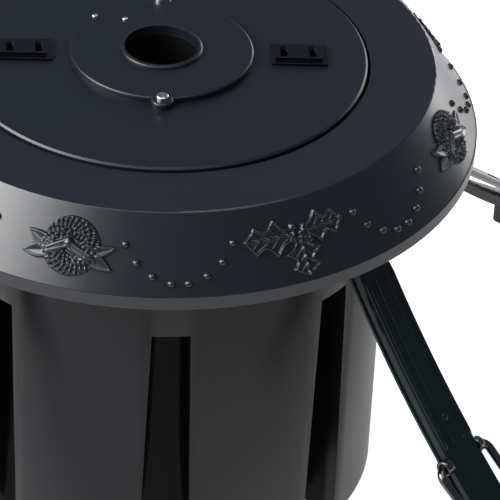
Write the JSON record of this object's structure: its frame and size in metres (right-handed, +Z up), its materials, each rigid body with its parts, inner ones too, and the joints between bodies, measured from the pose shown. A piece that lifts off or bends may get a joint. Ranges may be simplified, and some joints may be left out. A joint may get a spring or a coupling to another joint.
{
  "type": "rotating tree stand",
  "caption": "Motor-driven round stand with a slotted drum, folding bowed legs and a turntable that holds a pole socket and flat mains outlets.",
  "frame": {"origin": "on the turntable's turning axis, at floor level under the feet", "axes": "+Z up along the turning axis, -Y towards the front, +X to the right"},
  "size_m": [0.479, 0.479, 0.2463],
  "materials": {
    "black_plastic": "satin moulded",
    "drum_plastic": "satin moulded",
    "table_plastic": "fine satin",
    "outlet_plastic": "gloss",
    "leg_enamel": "gloss enamel",
    "wire_enamel": "high gloss",
    "shoe_rubber": "matt",
    "zinc_screws": "zinc plated",
    "steel": "ground",
    "motor_metal": "zinc plated",
    "nylon": "natural",
    "brass": "bright",
    "cord_pvc": "satin sheath"
  },
  "bodies": {
    "base": {"base_plate": "drum_plastic", "base_screws": "zinc_screws", "brush_block": "nylon", "brush_leaves": "brass", "brush_screws": "zinc_screws", "cap_screws": "zinc_screws", "cord_grip": "drum_plastic", "cord_tie": "cord_pvc", "drum": "drum_plastic", "frame_screws": "zinc_screws", "hinge_pins": "zinc_screws", "leg_frame": "leg_enamel", "lower_bush": "nylon", "lower_race": "steel", "motor_case": "motor_metal", "motor_cover": "motor_metal", "motor_leads": "cord_pvc", "motor_screws": "zinc_screws", "plug_blades": "brass", "plug_body": "cord_pvc", "power_cord": "cord_pvc", "rim_cover": "black_plastic", "upper_bush": "nylon"},
    "turntable": {"turntable_disc": "table_plastic", "hub_cover": "table_plastic", "hub_flange": "nylon", "hub_rivets": "zinc_screws", "hub_screws": "zinc_screws", "pole_tube": "leg_enamel", "pole_stop": "nylon", "outlet_right": "outlet_plastic", "outlet_left": "outlet_plastic", "outlet_contacts": "brass", "outlet_leads": "cord_pvc", "slip_ring_carrier": "nylon", "slip_rings": "brass", "drive_gear": "nylon", "upper_race": "steel"},
    "bearing_cage": {"ball_cage": "nylon", "bearing_balls": "steel"},
    "motor_drive": {"motor_pinion": "nylon", "motor_shaft": "steel", "motor_output_wheel": "steel"},
    "leg_back_right": {"leg_back_right": "leg_enamel", "foot_back_right": "shoe_rubber"},
    "stay_back_right": {"stay_back_right": "wire_enamel"},
    "leg_back_left": {"leg_back_left": "leg_enamel", "foot_back_left": "shoe_rubber"},
    "stay_back_left": {"stay_back_left": "wire_enamel"},
    "leg_front_left": {"leg_front_left": "leg_enamel", "foot_front_left": "shoe_rubber"},
    "stay_front_left": {"stay_front_left": "wire_enamel"},
    "leg_front_right": {"leg_front_right": "leg_enamel", "foot_front_right": "shoe_rubber"},
    "stay_front_right": {"stay_front_right": "wire_enamel"}
  },
  "joints": [
    {"name": "turntable_spin", "type": "hinge", "parent": "base", "child": "turntable", "pos_m": [0, 0, 0.24], "axis": [0, 0, 1], "continuous": true},
    {"name": "cage_spin", "type": "hinge", "parent": "base", "child": "bearing_cage", "pos_m": [0, 0, 0.2226], "axis": [0, 0, 1], "continuous": true},
    {"name": "motor_spin", "type": "hinge", "parent": "base", "child": "motor_drive", "pos_m": [0.02181, 0.05266, 0.19], "axis": [0, 0, 1], "continuous": true},
    {"name": "fold_leg_back_right", "type": "hinge", "parent": "base", "child": "leg_back_right", "pos_m": [0.08202, 0.08202, 0.1965], "axis": [-0.7071, 0.7071, 0], "range_deg": [0, 36]},
    {"name": "lift_stay_back_right", "type": "hinge", "parent": "leg_back_right", "child": "stay_back_right", "pos_m": [0.12728, 0.12728, 0.1123], "axis": [0.7071, -0.7071, 0], "range_deg": [0, 50]},
    {"name": "fold_leg_back_left", "type": "hinge", "parent": "base", "child": "leg_back_left", "pos_m": [-0.08202, 0.08202, 0.1965], "axis": [-0.7071, -0.7071, 0], "range_deg": [0, 36]},
    {"name": "lift_stay_back_left", "type": "hinge", "parent": "leg_back_left", "child": "stay_back_left", "pos_m": [-0.12728, 0.12728, 0.1123], "axis": [0.7071, 0.7071, 0], "range_deg": [0, 50]},
    {"name": "fold_leg_front_left", "type": "hinge", "parent": "base", "child": "leg_front_left", "pos_m": [-0.08202, -0.08202, 0.1965], "axis": [0.7071, -0.7071, 0], "range_deg": [0, 36]},
    {"name": "lift_stay_front_left", "type": "hinge", "parent": "leg_front_left", "child": "stay_front_left", "pos_m": [-0.12728, -0.12728, 0.1123], "axis": [-0.7071, 0.7071, 0], "range_deg": [0, 50]},
    {"name": "fold_leg_front_right", "type": "hinge", "parent": "base", "child": "leg_front_right", "pos_m": [0.08202, -0.08202, 0.1965], "axis": [0.7071, 0.7071, 0], "range_deg": [0, 36]},
    {"name": "lift_stay_front_right", "type": "hinge", "parent": "leg_front_right", "child": "stay_front_right", "pos_m": [0.12728, -0.12728, 0.1123], "axis": [-0.7071, -0.7071, 0], "range_deg": [0, 50]}
  ],
  "couplings": [
    {"joint": "motor_spin", "follows": "turntable_spin", "ratio": -5.3333},
    {"joint": "cage_spin", "follows": "turntable_spin", "ratio": 0.5}
  ]
}
